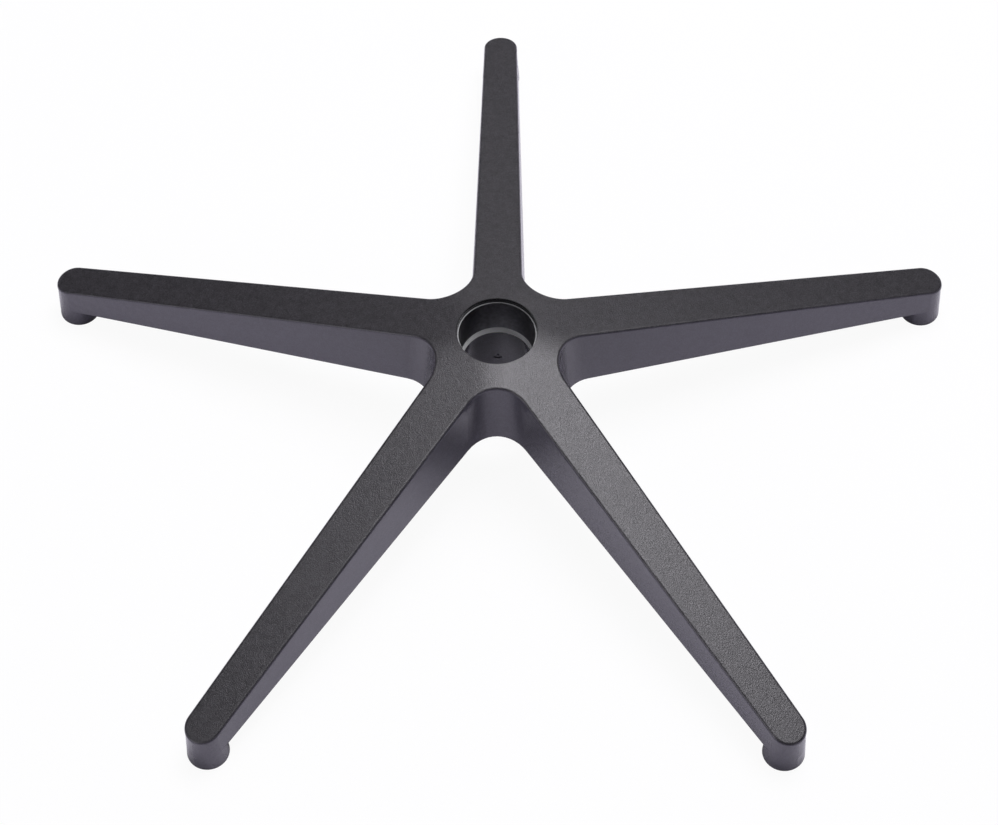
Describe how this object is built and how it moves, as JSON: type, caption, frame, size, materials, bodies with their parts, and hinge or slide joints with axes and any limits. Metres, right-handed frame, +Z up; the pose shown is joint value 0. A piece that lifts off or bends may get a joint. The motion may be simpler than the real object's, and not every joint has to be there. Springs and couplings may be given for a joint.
{
  "type": "office chair star base",
  "caption": "Moulded star base of a swivel office chair, with drafted ribbed arms, caster sockets in the tips and a steel-sleeved tapered hub for the gas column.",
  "frame": {"origin": "centre of the hub's mouth, on the axis of the gas column", "axes": "+Z up along the column's axis, +Y along one arm, +X to the right when that arm points away"},
  "size_m": [0.5862, 0.5589, 0.102],
  "materials": {
    "black_nylon": "fine moulded grain on top, smoother drafted sides",
    "sleeve_steel": "plain pressed steel, darkened inside"
  },
  "bodies": {
    "root": {"star_base": "black_nylon", "hub_sleeve": "sleeve_steel"}
  },
  "joints": []
}
